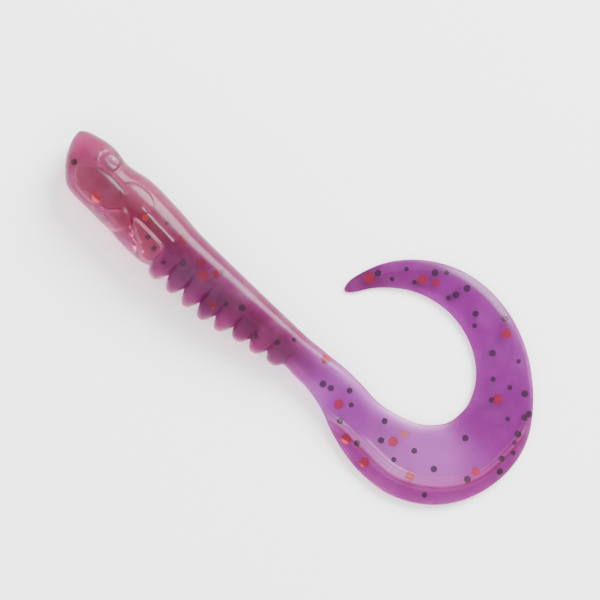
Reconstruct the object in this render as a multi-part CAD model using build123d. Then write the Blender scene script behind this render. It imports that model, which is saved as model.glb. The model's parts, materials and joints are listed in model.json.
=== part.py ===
"""A curly-tailed soft plastic worm, lying on its left flank as it would on a bench.

Lengths are millimetres. A station is a distance along the worm's centreline from the tip of
the snout. The snout points to -X, the back to +Y and the right flank to +Z. Across the worm,
an offset is positive towards the back, which is also the inside of the tail's curl.
The moulding is divided where it flexes: each length of it is a solid of its own, and the
lengths meet at V-shaped gaps whose apexes lie on the joint axes.
"""
from build123d import *
import os
from math import ceil, copysign, cos, degrees, pi, radians, sin, sqrt

os.makedirs("parts", exist_ok=True)

# ---------------------------------------------------------------- driving dimensions
TRUNK_STRAIGHT = 54.8        # from the snout to where the centreline starts to curve
TRUNK_AXIS = 1.7             # the centreline's offset from the frame's Y = 0 before centring
# the tail's centreline: (radius, turn in degrees), positive turns towards the back
TAIL_ARCS = ((28.0, -17.0), (22.0, 28.5), (11.5, 104.5), (18.5, 56.0), (16.5, 64.5), (17.0, 20.5))

# half the height of a cross-section, back to belly (across the blade on the tail), by station
HALF_HEIGHT = (
    (6.6, 4.8), (9.6, 4.65), (14.3, 5.05), (18.9, 5.2), (21.5, 5.05), (24.0, 4.4), (26.5, 4.15),
    (33.0, 4.0), (37.0, 3.85), (41.0, 3.55), (45.0, 3.2), (50.0, 3.0), (55.0, 3.2), (60.0, 3.8),
    (66.0, 4.75), (73.0, 6.0), (80.0, 6.55), (86.0, 6.25), (92.0, 5.9), (98.0, 5.0),
    (104.0, 4.3), (112.0, 3.8), (120.0, 3.2), (128.0, 2.3), (133.0, 1.5), (136.5, 0.6),
)
# how far the middle of a cross-section lies from the centreline, by station
MIDDLE_OFFSET = ((0.0, 2.0), (1.8, 1.4), (3.3, 0.75), (6.6, 0.4), (9.6, 0.0), (14.3, 0.1),
                 (18.9, -0.2), (21.5, -0.35), (24.0, -0.1), (33.0, -0.3), (37.0, -0.3),
                 (45.0, 0.05), (50.0, 0.05), (55.0, 0.0), (136.5, 0.0))
# half the thickness of a cross-section, flank to flank, by station
HALF_THICKNESS = (
    (6.6, 3.7), (10.0, 3.9), (18.0, 4.0), (24.0, 3.8), (32.0, 3.3), (40.0, 2.8), (48.0, 2.3),
    (53.0, 2.0), (58.0, 1.65), (64.0, 1.3),
    (72.0, 1.05), (92.0, 0.95), (112.0, 0.8), (128.0, 0.6), (136.5, 0.35),
)
# height of a cross-section's middle above the bench: the soft tail sinks to lie on it
REST_HEIGHT = ((0.0, 4.5), (14.0, 4.5), (26.0, 4.25), (38.0, 3.65), (48.0, 2.9), (56.0, 2.1),
               (64.0, 1.45), (72.0, 1.0), (92.0, 0.88), (112.0, 0.72), (128.0, 0.52),
               (136.5, 0.3))
BLUNTNESS = 2.3              # 2 is an ellipse, more is squarer
SNOUT_LENGTH = 6.6           # over which the snout rounds off
SNOUT_TIP = 0.15             # the snout's roundness is cut off this far short of a point
SNOUT_STATIONS = (0.0, 0.4, 1.2, 2.6, 4.5)
RIM_SWELL = 0.38             # share by which the blade thickens to its outer edge
RIM_SWELL_STATIONS = (56.0, 70.0)

# flexing places: name, station, axis, and how far each turns either way, in degrees. A curl
# opens by the first figure and tightens by the second
FLEX = (
    ("trunk_front", 29.75, "Y", 15.0, 15.0),
    ("trunk_rear", 39.85, "Y", 15.0, 15.0),
    ("tail_root", 53.0, "Y", 50.0, 50.0),
    ("curl_1", 66.0, "Z", 22.0, 4.0),
    ("curl_2", 82.0, "Z", 18.0, 4.0),
    ("curl_3", 98.0, "Z", 25.0, 5.0),
    ("curl_4", 114.0, "Z", 31.0, 6.0),
)
FLEX_CLEARANCE = 0.30        # gap between two lengths at the joint axis
FLEX_SPARE_ANGLE = 0.8       # each side of a gap is opened by this much more than it closes
NECK_STATION = 16.0          # where the head ends and the shoulder starts
TAIL_END = HALF_HEIGHT[-1][0]

# belly ribs
RIB_COUNT = 8
RIB_FIRST = 24.75            # station of the first rib
RIB_PITCH = 3.36
RIB_WIDTH = 2.7
RIB_TIP_RADIUS = 0.85
RIB_HALF_DEPTH = 2.2         # flank to flank, half
# how far each end of the row stands below the belly
RIB_STAND_FRONT = 2.2
RIB_STAND_REAR = 1.35
RIB_ROOT = 1.6               # depth of the rib's foot above the belly line

# head: (station, offset, half length, half height) of each lobe, and how proud it stands
CHEEK = (7.4, -1.5, 3.3, 2.4)
CHEEK_PROUD = 0.55
GILL = (12.4, -2.1, 3.4, 2.3)
GILL_PROUD = 0.45
EYE_STATION = 7.4
EYE_OFFSET = 3.1
EYE_RADIUS = 1.3
EYE_PROUD = 0.35
JAW_STATIONS = (4.2, 8.0, 13.0, 18.0, 22.5)
JAW_HALF_DEPTH = (1.2, 1.9, 2.2, 2.1, 1.2)
JAW_STAND = (0.25, 0.45, 0.5, 0.45, 0.3)
JAW_EMBED = 0.9
# pectoral fin: the point at its front, and the round rear of its teardrop
FIN_POINT = (16.6, -1.4)
FIN_ROUND = (21.6, -3.0)
FIN_ROUND_RADIUS = 1.6
FIN_PROUD = 0.45

# glitter flakes: hexagons of foil cast into the plastic
FLAKE_THICKNESS = 0.10
FLAKE_LARGE = 1.5            # across flats
FLAKE_SMALL = 0.85
FLAKE_TILT = 16.0            # largest tilt out of the plane of the flank
# (station, offset) of each flake of a colour
FLAKES = {
    "red": (FLAKE_LARGE, (
        (9.6, -2.6), (24.4, 1.6), (29.2, 0.7), (32.2, 0.9), (30.8, -0.6), (34.9, -3.2),
        (54.6, 2.5), (61.4, -1.0), (66.4, -3.2), (70.6, -3.9), (72.2, 1.6), (77.0, -2.3),
        (86.0, -2.9), (97.3, 0.9), (107.6, -2.0), (121.3, 0.2), (123.6, 0.4), (134.0, -0.2),
    )),
    "dark": (FLAKE_SMALL, (
        (3.0, -0.8), (20.0, -1.9), (20.8, 1.8), (24.6, -3.3), (27.0, -1.3), (32.6, 1.8),
        (36.6, -1.6), (43.6, -2.4), (46.9, -0.8), (48.6, 1.3), (57.0, -0.9), (58.4, -0.4),
        (60.6, 1.7), (63.8, -2.3), (67.9, -2.4), (68.6, 3.3), (70.4, 0.6), (73.9, -0.8),
        (76.5, 1.9), (79.2, -4.9), (80.3, -0.6), (84.6, -3.4), (87.6, 2.6), (88.4, -5.2),
        (93.2, -3.9), (94.6, -1.4), (96.0, -5.0), (97.0, 1.8), (99.4, -0.9), (100.8, 1.8),
        (103.2, -2.6), (105.4, 1.2), (109.6, -2.9), (111.2, 1.9), (112.8, 0.6), (116.6, -1.4),
        (118.2, 1.6), (120.4, -1.9), (124.9, 1.1), (126.4, -0.9), (128.8, 0.7), (130.9, -0.6),
    )),
    "gold": (FLAKE_SMALL, ((74.2, 3.9),)),
}

SECTION_POINTS = 16
STATION_STEP = 3.2           # largest distance between two cross-sections of a loft
FAR = 60.0                   # larger than any piece


# ---------------------------------------------------------------- the worm's rule
def on_curve(table, station):
    """Value of a station table, smooth between its points."""
    xs = [p[0] for p in table]
    ys = [p[1] for p in table]
    slopes = [(ys[i + 1] - ys[i]) / (xs[i + 1] - xs[i]) for i in range(len(xs) - 1)]
    tangents = [slopes[0]]
    for before, after in zip(slopes[:-1], slopes[1:]):
        level = before * after <= 0
        tangents.append(0.0 if level else 2 * before * after / (before + after))
    tangents.append(slopes[-1])
    i = max(k for k in range(len(xs) - 1) if k == 0 or xs[k] <= station)
    span = xs[i + 1] - xs[i]
    t = min(max((station - xs[i]) / span, 0.0), 1.0)
    value = (2 * t**3 - 3 * t**2 + 1) * ys[i] + (3 * t**2 - 2 * t**3) * ys[i + 1]
    return value + span * ((t**3 - 2 * t**2 + t) * tangents[i] + (t**3 - t**2) * tangents[i + 1])


def on_centreline(station):
    """Place (x, y) on the centreline and its heading in radians."""
    if station <= TRUNK_STRAIGHT:
        return station, TRUNK_AXIS, 0.0
    x, y, heading = TRUNK_STRAIGHT, TRUNK_AXIS, 0.0
    left = station - TRUNK_STRAIGHT
    for radius, turn in TAIL_ARCS:
        side = copysign(1.0, turn)
        length = radius * abs(radians(turn))
        step = min(left, length)
        centre_x = x - side * radius * sin(heading)
        centre_y = y + side * radius * cos(heading)
        heading += side * step / radius
        x = centre_x + side * radius * sin(heading)
        y = centre_y - side * radius * cos(heading)
        left -= step
        if left <= 0:
            return x, y, heading
    return x + left * cos(heading), y + left * sin(heading), heading


def place(station, offset, height):
    """Point in space at a station, an offset across the worm and a height above the bench."""
    x, y, heading = on_centreline(station)
    return Vector(x - offset * sin(heading), y + offset * cos(heading), height)


def rim_swell(station):
    first, last = RIM_SWELL_STATIONS
    t = min(max((station - first) / (last - first), 0.0), 1.0)
    return RIM_SWELL * t * t * (3 - 2 * t)


def snout_share(station):
    """Share of the full cross-section that the rounded snout has at a station."""
    along = min((station + SNOUT_TIP) / (SNOUT_LENGTH + SNOUT_TIP), 1.0)
    return sqrt(1 - (1 - along) ** 2)


def half_sizes(station):
    """Half the height and half the thickness of a cross-section."""
    share = snout_share(station)
    return share * on_curve(HALF_HEIGHT, station), share * on_curve(HALF_THICKNESS, station)


def section(station):
    """Closed outline of the moulding's cross-section at a station."""
    half_height, half_thickness = half_sizes(station)
    middle = on_curve(MIDDLE_OFFSET, station)
    height = on_curve(REST_HEIGHT, station)
    power = 2.0 / BLUNTNESS
    points = []
    for k in range(SECTION_POINTS):
        angle = 2 * pi * k / SECTION_POINTS
        across = copysign(abs(cos(angle)) ** power, cos(angle))
        through = copysign(abs(sin(angle)) ** power, sin(angle))
        thickness = half_thickness * (1 - rim_swell(station) * across)
        points.append(place(station, middle + half_height * across, height + thickness * through))
    return Wire([Edge.make_spline(points, periodic=True)])


def moulding(first, last):
    """The moulding between two stations, as a loft through its cross-sections."""
    steps = max(3, ceil((last - first) / STATION_STEP))
    stations = [first + (last - first) * k / steps for k in range(steps + 1)]
    if first == 0.0:
        stations = list(SNOUT_STATIONS) + [s for s in stations if s > SNOUT_STATIONS[-1] + 1]
    return Solid.make_loft([section(s) for s in stations])


def flank_height(station, offset, side):
    """Height of the moulding's surface on one flank (+1 right, -1 left)."""
    half_height, half_thickness = half_sizes(station)
    across = (offset - on_curve(MIDDLE_OFFSET, station)) / half_height
    across = min(max(across, -0.98), 0.98)
    rise = (1 - abs(across) ** BLUNTNESS) ** (1 / BLUNTNESS)
    return on_curve(REST_HEIGHT, station) + side * rise * half_thickness


def flank_tilt(station, offset, side):
    """Slope of the flank across the worm, in degrees."""
    step = 0.3
    rise = flank_height(station, offset + step, side) - flank_height(station, offset - step, side)
    return degrees(rise / (2 * step))


# ---------------------------------------------------------------- flexing gaps
def keep_beyond(flex, forward):
    """Prism that holds what one side of a flexing place may keep."""
    _, station, axis, low, high = flex
    x, y, heading = on_centreline(station)
    ahead = Vector(cos(heading), sin(heading), 0) * forward
    pivot = Vector(x, y, on_curve(REST_HEIGHT, station))
    turn_axis = Vector(0, 0, 1) if axis == "Z" else Vector(-sin(heading), cos(heading), 0)
    plane = Plane(origin=pivot, x_dir=ahead, z_dir=turn_axis)
    sideways = plane.y_dir
    back_side = turn_axis.cross(Vector(cos(heading), sin(heading), 0))
    closes_on_plus = high / 2 + FLEX_SPARE_ANGLE
    closes_on_minus = low / 2 + FLEX_SPARE_ANGLE
    if sideways.dot(back_side) < 0:
        closes_on_plus, closes_on_minus = closes_on_minus, closes_on_plus
    apex = FLEX_CLEARANCE / 2
    plus = radians(closes_on_plus)
    minus = radians(closes_on_minus)
    outline = Polyline(
        (apex, 0),
        (apex + FAR * sin(plus), FAR * cos(plus)),
        (2 * FAR, FAR * cos(plus)),
        (2 * FAR, -FAR * cos(minus)),
        (apex + FAR * sin(minus), -FAR * cos(minus)),
        close=True,
    )
    return extrude(plane * make_face(outline), amount=FAR, both=True)


BENCH = Pos(0, 0, FAR / 2) * Box(8 * FAR, 8 * FAR, FAR)


def between(solid, body):
    """The solid as cut by the gaps at both ends of a body, and by the bench."""
    allowed = BENCH
    if body > 0:
        allowed = allowed & keep_beyond(FLEX[body - 1], +1)
    if body < len(FLEX):
        allowed = allowed & keep_beyond(FLEX[body], -1)
    return solid & allowed


def as_one(shape):
    """All the solids of a boolean's result, as one shape to export."""
    solids = shape.solids()
    return solids[0] if len(solids) == 1 else Compound(solids)


# ---------------------------------------------------------------- lengths of the moulding
BOUNDS = [0.0] + [flex[1] for flex in FLEX] + [TAIL_END]
LENGTH_NAMES = ("head", "trunk_middle", "trunk_rear", "tail_stem", "tail_lower", "tail_bend",
                "tail_upper", "tail_hook")
nodes = {}
body_of = {}


def add(name, body, shape):
    nodes[name] = as_one(shape)
    body_of[name] = body


lengths = [moulding(BOUNDS[k], BOUNDS[k + 1]) for k in range(len(LENGTH_NAMES))]
NECK_PLANE = Plane(origin=(NECK_STATION, 0, 0), z_dir=(1, 0, 0))
front_half = NECK_PLANE * Pos(0, 0, -FAR) * Box(2 * FAR, 2 * FAR, 2 * FAR)
add("head", 0, between(lengths[0] & front_half, 0))
add("shoulder", 0, between(lengths[0] - front_half, 0))
for k in range(1, len(LENGTH_NAMES)):
    add(LENGTH_NAMES[k], k, between(lengths[k], k))


# ---------------------------------------------------------------- what stands on the head
def lobe(shape, proud, side):
    """Rounded lobe on a flank: an ellipsoid less the head it stands on."""
    station, offset, half_length, half_height = shape
    surface = flank_height(station, offset, side)
    tilt = flank_tilt(station, offset, side)
    depth = half_height * 0.8
    ball = scale(Sphere(1.0), by=(half_length, half_height, depth))
    centre = surface + side * (proud - depth)
    body = Pos(*place(station, offset, centre)) * Rot(tilt, 0, 0) * ball
    return body - lengths[0]


def eye(side):
    surface = flank_height(EYE_STATION, EYE_OFFSET, side)
    depth = EYE_RADIUS * 0.75
    ball = scale(Sphere(1.0), by=(EYE_RADIUS, EYE_RADIUS, depth))
    return Pos(*place(EYE_STATION, EYE_OFFSET, surface + side * (EYE_PROUD - depth))) * ball


def jaw():
    """Thin sheath along the underside of the head."""
    wires = []
    for station, half_depth, stand in zip(JAW_STATIONS, JAW_HALF_DEPTH, JAW_STAND):
        belly = on_curve(MIDDLE_OFFSET, station) - on_curve(HALF_HEIGHT, station)
        middle = belly + (JAW_EMBED - stand) / 2
        half = (JAW_EMBED + stand) / 2
        height = on_curve(REST_HEIGHT, station)
        points = [
            place(station, middle + half * cos(2 * pi * k / 8), height + half_depth * sin(2 * pi * k / 8))
            for k in range(8)
        ]
        wires.append(Wire([Edge.make_spline(points, periodic=True)]))
    return Solid.make_loft(wires) - lengths[0]


def fin(side):
    """Teardrop fin: its outline is drawn through the flank and trimmed to stand proud of it."""
    tip = Vector(FIN_POINT[0], TRUNK_AXIS + FIN_POINT[1])
    centre = Vector(FIN_ROUND[0], TRUNK_AXIS + FIN_ROUND[1])
    reach = (centre - tip).length
    aim = Vector(1, 0).get_signed_angle(centre - tip)
    touch = degrees(pi / 2) - degrees(FIN_ROUND_RADIUS / reach)
    corners = [
        centre + Vector(FIN_ROUND_RADIUS, 0).rotate(Axis.Z, aim + 180 - swing * touch)
        for swing in (1, -1)
    ]
    outline = make_hull([Line(tip, corners[0]), Line(tip, corners[1])]
                        + [Pos(centre.X, centre.Y) * CenterArc((0, 0), FIN_ROUND_RADIUS, 0, 360)])
    height = on_curve(REST_HEIGHT, FIN_ROUND[0])
    outer = flank_height(FIN_POINT[0] + reach / 2, (FIN_POINT[1] + FIN_ROUND[1]) / 2, side)
    thick = abs(outer - height) + FIN_PROUD
    plate = Pos(0, 0, height) * extrude(outline, amount=thick, dir=(0, 0, side))
    return plate - lengths[0] - nodes["jaw"]


add("jaw", 0, between(jaw(), 0))
for side, hand in ((1, "right"), (-1, "left")):
    cheek = lobe(CHEEK, CHEEK_PROUD, side)
    add(f"cheek_{hand}", 0, between(cheek - nodes["jaw"], 0))
    gill = lobe(GILL, GILL_PROUD, side)
    add(f"gill_{hand}", 0, between(gill - cheek - nodes["jaw"], 0))
    add(f"eye_{hand}", 0, between(eye(side) - lengths[0] - cheek, 0))
    add(f"fin_{hand}", 0, between(fin(side) - gill, 0))


# ---------------------------------------------------------------- belly ribs
def rib(index):
    """Rounded tooth that stands out of the belly, wider at its foot, flank to flank an arch."""
    station = RIB_FIRST + index * RIB_PITCH
    share = index / max(RIB_COUNT - 1, 1)
    stand = RIB_STAND_FRONT + share * (RIB_STAND_REAR - RIB_STAND_FRONT)
    belly = on_curve(MIDDLE_OFFSET, station) - on_curve(HALF_HEIGHT, station)
    height = on_curve(REST_HEIGHT, station)
    wires = []
    for climb in (0.0, 0.5, 1.0):
        offset = belly + RIB_ROOT - climb * (RIB_ROOT + stand)
        half_width = RIB_WIDTH / 2 + climb * (RIB_TIP_RADIUS - RIB_WIDTH / 2)
        half_depth = RIB_HALF_DEPTH * (1 - 0.45 * climb * climb)
        points = [
            Vector(
                station + half_width * cos(2 * pi * k / 12),
                TRUNK_AXIS + offset,
                height + half_depth * sin(2 * pi * k / 12),
            )
            for k in range(12)
        ]
        wires.append(Wire([Edge.make_spline(points, periodic=True)]))
    return Solid.make_loft(wires)


for index in range(RIB_COUNT):
    middle = RIB_FIRST + index * RIB_PITCH
    body = sum(1 for flex in FLEX if flex[1] < middle)
    tooth = rib(index) - lengths[body]
    if body > 0:
        tooth = tooth - lengths[body - 1]
    if body + 1 < len(lengths):
        tooth = tooth - lengths[body + 1]
    if index == 0:
        tooth = tooth - nodes["jaw"] - nodes["fin_left"] - nodes["fin_right"]
    pieces = between(tooth, body).solids()
    add(f"rib_{index + 1}", body, max(pieces, key=lambda piece: piece.volume))


# ---------------------------------------------------------------- glitter flakes
def flake(station, offset, across_flats, order):
    """One hexagon of foil, tilted a little, at the middle of the moulding's thickness."""
    radius = across_flats / 2 / cos(pi / 6)
    spin = (order * 137.5) % 60
    lean = FLAKE_TILT * sin(order * 2.4)
    lean_across = FLAKE_TILT * cos(order * 1.7)
    room = on_curve(HALF_THICKNESS, station) - radius * sin(radians(FLAKE_TILT)) * 1.5
    height = on_curve(REST_HEIGHT, station) + max(room, 0.0) * 0.5 * sin(order * 3.1)
    foil = extrude(RegularPolygon(radius, 6), amount=FLAKE_THICKNESS / 2, both=True)
    fits = min(1.0, 2 * on_curve(HALF_THICKNESS, station) / across_flats)
    turned = Rot(lean * fits * 0.5, lean_across * fits * 0.5, spin) * foil
    return Pos(*place(station, offset, height)) * turned


def cast_in(colour, body):
    """The flakes of one colour in one length, each in its own pocket in the plastic."""
    across_flats, spots = FLAKES[colour]
    holders = ("head", "shoulder") if body == 0 else (LENGTH_NAMES[body],)
    foils = []
    for order, (station, offset) in enumerate(spots):
        if not BOUNDS[body] < station < BOUNDS[body + 1]:
            continue
        foil = flake(station, offset, across_flats, order)
        for holder in holders:
            inside = foil & nodes[holder]
            if inside is not None and abs(inside.volume - foil.volume) < foil.volume * 1e-3:
                nodes[holder] = as_one(nodes[holder] - foil)
                foils.append(foil.solids()[0])
    return foils


for colour in FLAKES:
    for body, length_name in enumerate(LENGTH_NAMES):
        foils = cast_in(colour, body)
        if foils:
            add(f"flakes_{colour}_{length_name}", body, Compound(foils))


# ---------------------------------------------------------------- centred on the bench
whole = Compound(list(nodes.values())).bounding_box()
to_origin = Pos(-whole.center().X, -whole.center().Y, 0)
for name, shape in nodes.items():
    export_step(to_origin * shape, f"parts/{name}.step")

print("size", whole.size)
print("shift", to_origin.position)
for name, station, axis, low, high in FLEX:
    x, y, heading = on_centreline(station)
    pivot = to_origin.position + Vector(x, y, on_curve(REST_HEIGHT, station))
    print("joint", name, pivot, degrees(heading), axis, low, high)
for name, body in body_of.items():
    print("node", body, name)
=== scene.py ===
import json
import math

import bpy
import numpy as np
from mathutils import Matrix, Vector

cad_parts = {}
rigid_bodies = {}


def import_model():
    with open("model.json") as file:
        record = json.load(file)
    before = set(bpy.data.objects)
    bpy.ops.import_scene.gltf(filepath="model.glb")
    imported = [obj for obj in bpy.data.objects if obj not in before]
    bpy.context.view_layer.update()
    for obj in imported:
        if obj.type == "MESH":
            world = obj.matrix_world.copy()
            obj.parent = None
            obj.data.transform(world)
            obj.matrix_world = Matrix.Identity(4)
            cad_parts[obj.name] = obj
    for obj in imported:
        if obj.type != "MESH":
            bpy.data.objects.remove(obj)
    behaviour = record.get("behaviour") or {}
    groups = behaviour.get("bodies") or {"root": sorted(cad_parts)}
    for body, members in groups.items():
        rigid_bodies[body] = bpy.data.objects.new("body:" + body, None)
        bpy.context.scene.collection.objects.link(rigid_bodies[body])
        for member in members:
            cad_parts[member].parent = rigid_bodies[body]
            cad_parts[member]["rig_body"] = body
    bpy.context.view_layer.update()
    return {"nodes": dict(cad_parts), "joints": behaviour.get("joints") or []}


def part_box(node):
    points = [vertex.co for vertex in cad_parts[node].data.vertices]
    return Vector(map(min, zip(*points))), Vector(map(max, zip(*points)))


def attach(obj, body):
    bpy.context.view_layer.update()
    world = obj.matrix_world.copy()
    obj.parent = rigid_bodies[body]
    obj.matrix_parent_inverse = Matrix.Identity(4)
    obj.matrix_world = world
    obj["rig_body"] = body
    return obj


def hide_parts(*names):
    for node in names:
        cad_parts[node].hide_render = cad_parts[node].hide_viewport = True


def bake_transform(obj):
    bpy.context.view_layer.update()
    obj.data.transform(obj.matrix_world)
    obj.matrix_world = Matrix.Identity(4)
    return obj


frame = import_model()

bl_info = {
    "name": "Curly-tail soft worm",
    "version": (1, 0, 0),
    "blender": (4, 2, 0),
    "location": "3D View > Sidebar > Worm",
    "description": "Moulded plastisol worm with a sculpted head, ribbed belly and sickle tail",
    "category": "Object",
}

MM = 0.001
UP = Vector((0.0, 0.0, 1.0))

# Stations run along the centreline from the snout; offsets are positive towards the back.
JOINT_STATIONS = (29.75, 39.85, 53.0, 66.0, 82.0, 98.0, 114.0)
SWAY_STATION = JOINT_STATIONS[2]
TRUNK_STRAIGHT = 54.8
TAIL_ARCS = ((28.0, -17.0), (22.0, 28.5), (11.5, 104.5), (18.5, 56.0), (16.5, 64.5), (17.0, 20.5))
TAIL_END = 137.0
SPLITS = (0.0, 34.8, 46.4, 59.5, 74.0, 90.0, 106.0, TAIL_END)
JOINTS = ("trunk_front_bend", "trunk_rear_bend", "tail_sway", "tail_curl_1", "tail_curl_2",
          "tail_curl_3", "tail_curl_4")

BACK = ((0.0, 5.9), (0.9, 5.8), (3.0, 5.45), (6.6, 5.2), (9.6, 4.64), (14.3, 5.2), (20.7, 4.74),
        (26.0, 4.05), (36.0, 3.57), (46.0, 3.18), (50.5, 3.05), (55.0, 3.2))
BELLY = ((0.0, -3.0), (3.3, -4.2), (6.6, -4.5), (9.6, -4.65), (14.3, -4.95), (18.9, -5.4),
         (21.3, -5.4), (24.0, -4.55), (26.5, -4.35), (33.2, -4.35), (36.7, -4.2), (40.1, -3.75),
         (43.4, -3.36), (46.6, -2.95), (50.0, -2.9), (55.0, -3.2))
BLADE = ((55.0, 3.2), (60.0, 3.8), (66.0, 4.75), (71.0, 5.7), (76.0, 6.35), (81.0, 6.55),
         (86.0, 6.3), (91.0, 6.0), (96.0, 5.25), (101.0, 4.6), (107.0, 4.15), (114.0, 3.7),
         (119.0, 3.3), (124.0, 2.75), (129.0, 2.15), (133.0, 1.5), (137.0, 0.9))
HALF_THICK = ((0.0, 3.5), (6.6, 3.7), (10.0, 3.9), (18.0, 4.0), (24.0, 3.8), (32.0, 3.3),
              (40.0, 2.8), (48.0, 2.3), (53.0, 2.0), (58.0, 1.65), (64.0, 1.3), (72.0, 1.05),
              (92.0, 0.95), (112.0, 0.8), (128.0, 0.6), (137.0, 0.4))
REST_HEIGHT = ((0.0, 4.5), (14.0, 4.5), (26.0, 4.25), (38.0, 3.65), (48.0, 2.9), (56.0, 2.1),
               (64.0, 1.45), (72.0, 1.0), (92.0, 0.88), (112.0, 0.72), (128.0, 0.52),
               (137.0, 0.3))
SNOUT_LENGTH = 6.6
SNOUT_SLANT = 1.6            # the snout's tip lies this much nearer the back
TIP_LENGTH = 2.2
UNDERSIDE_SOFTNESS = 0.004   # square millimetres; rounds the underside off where it meets the surface

# how far a bend reaches either side of its joint
FIRST_REACH_BACK = 5.05
LAST_REACH_ON = 10.0
REACH_BALANCE = 1.6          # one side reaches at most this many times as far as the other

RIB_COUNT = 8
RIB_FIRST = 24.75
RIB_PITCH = 3.36
RIB_STAND = ((24.7, 2.15), (31.5, 2.2), (38.3, 1.95), (41.4, 1.6), (44.8, 1.7), (48.3, 1.35))

# the crease of the blade: (station, distance inside the outer edge)
CREASE = ((61.0, 0.2), (62.0, 0.4), (65.5, 2.1), (71.0, 3.2), (79.0, 3.2), (86.0, 2.4),
          (90.0, 2.1), (94.0, 0.9), (97.0, 0.5))


# where the glitter flakes of each colour lie: (station, offset)
FLAKES = {
    "red": (
        (9.6, -2.6), (24.4, 1.6), (29.2, 0.7), (32.2, 0.9), (30.8, -0.6), (34.9, -3.2),
        (54.6, 2.3), (61.4, -1.0), (66.4, -3.2), (70.6, -3.9), (72.2, 1.6), (77.0, -2.3),
        (86.0, -2.9), (97.3, 0.9), (107.6, -2.0), (121.3, 0.2), (123.6, 0.4), (132.5, -0.2)),
    "dark": (
        (3.0, -0.8), (20.0, -1.9), (20.8, 1.8), (24.6, -3.3), (27.0, -1.3), (32.6, 1.8),
        (36.6, -1.6), (43.6, -2.4), (46.9, -0.8), (48.6, 1.3), (57.0, -0.9), (58.4, -0.4),
        (60.6, 1.7), (63.8, -2.3), (67.9, -2.4), (68.6, 3.3), (70.4, 0.6), (73.9, -0.8),
        (76.5, 1.9), (79.2, -4.9), (80.3, -0.6), (84.6, -3.4), (87.6, 2.6), (88.4, -5.2),
        (93.2, -3.9), (94.6, -1.4), (96.0, -4.6), (97.0, 1.8), (99.4, -0.9), (100.8, 1.8),
        (103.2, -2.6), (105.4, 1.2), (109.6, -2.9), (111.2, 1.9), (112.8, 0.6), (116.6, -1.4),
        (118.2, 1.6), (120.4, -1.9), (124.9, 1.1), (126.4, -0.9), (128.8, 0.7), (130.9, -0.6),
        (21.9, -2.6), (38.9, -0.4), (91.0, -4.8), (92.1, -4.1), (95.4, -4.0), (98.6, -3.4),
        (117.4, 0.5), (122.0, -1.2), (62.6, 0.6), (89.6, -3.9)),
    "gold": ((73.2, 3.6), (17.6, 0.2)),
}
FLAKE_SPREAD = (0.66, 1.06)  # smallest and largest flake, as shares of its setting

# the stage, in metres
AIM_RIGHT, AIM_UP = -0.00197, -0.00301
FLOOR_HALF = 1.5
FLOOR_DROP = 0.00005
KEY_SIZE = 0.50
KEY_RIGHT, KEY_UP, KEY_HEIGHT = 0.40, 0.46, 0.46


# ------------------------------------------------------------------ settings
class WormSkinSettings(bpy.types.PropertyGroup):
    trunk_step: bpy.props.FloatProperty(
        name="Trunk ring step", description="Distance between rings on the head and trunk",
        default=0.00016, unit="LENGTH")
    tail_step: bpy.props.FloatProperty(
        name="Tail ring step", description="Distance between rings on the tail",
        default=0.00028, unit="LENGTH")
    around: bpy.props.IntProperty(
        name="Points round", description="Points round one ring", default=232)
    relief: bpy.props.FloatProperty(
        name="Relief", description="Share of the full height of the sculpted relief",
        default=1.0, subtype="FACTOR")
    roundness: bpy.props.FloatProperty(
        name="Section power", description="2 gives elliptical sections, more gives squarer ones",
        default=2.3)


class WormFlakeSettings(bpy.types.PropertyGroup):
    large: bpy.props.FloatProperty(
        name="Red flake", description="Across flats of a red flake, before its spread",
        default=0.00168, unit="LENGTH")
    small: bpy.props.FloatProperty(
        name="Small flake", description="Across flats of a dark or gold flake, before its spread",
        default=0.00105, unit="LENGTH")
    foil: bpy.props.FloatProperty(
        name="Foil thickness", description="Thickness of a flake", default=0.00006,
        unit="LENGTH")
    tilt: bpy.props.FloatProperty(
        name="Tilt", description="Largest tilt of a flake out of the flank", default=0.12,
        subtype="ANGLE")
    depth: bpy.props.FloatProperty(
        name="Depth", description="Depth of a flake's middle under the skin",
        default=0.0002, unit="LENGTH")
    seed: bpy.props.IntProperty(name="Seed", description="Seed of the flakes' turns", default=7)


class WormStageSettings(bpy.types.PropertyGroup):
    picture_width: bpy.props.FloatProperty(
        name="Picture width", description="Width of the floor that the camera sees",
        default=0.0983, unit="LENGTH")
    distance: bpy.props.FloatProperty(
        name="Camera distance", description="Height of the camera above the floor",
        default=0.5, unit="LENGTH")
    roll: bpy.props.FloatProperty(
        name="Camera roll", description="Turn of the camera about its own axis",
        default=math.radians(41.6), subtype="ANGLE")
    key_power: bpy.props.FloatProperty(
        name="Key light", description="Power of the large soft light", default=20.0)
    sky: bpy.props.FloatProperty(
        name="Sky", description="Strength of the even white surroundings", default=2.3)


# ------------------------------------------------------------------ the worm's rule
def curve(table, at):
    """Values of a station table, smooth between its points and without overshoot."""
    xs = np.array([p[0] for p in table])
    ys = np.array([p[1] for p in table])
    slope = np.diff(ys) / np.diff(xs)
    before, after = slope[:-1], slope[1:]
    same = before * after > 0
    total = np.where(same, before + after, 1.0)
    inner = np.where(same, 2 * before * after / total, 0.0)
    tangent = np.concatenate(([slope[0]], inner, [slope[-1]]))
    at = np.asarray(at, float)
    i = np.clip(np.searchsorted(xs, at, side="right") - 1, 0, len(xs) - 2)
    span = xs[i + 1] - xs[i]
    t = np.clip((at - xs[i]) / span, 0.0, 1.0)
    value = (2 * t**3 - 3 * t**2 + 1) * ys[i] + (3 * t**2 - 2 * t**3) * ys[i + 1]
    return value + span * ((t**3 - 2 * t**2 + t) * tangent[i] + (t**3 - t**2) * tangent[i + 1])


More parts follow.
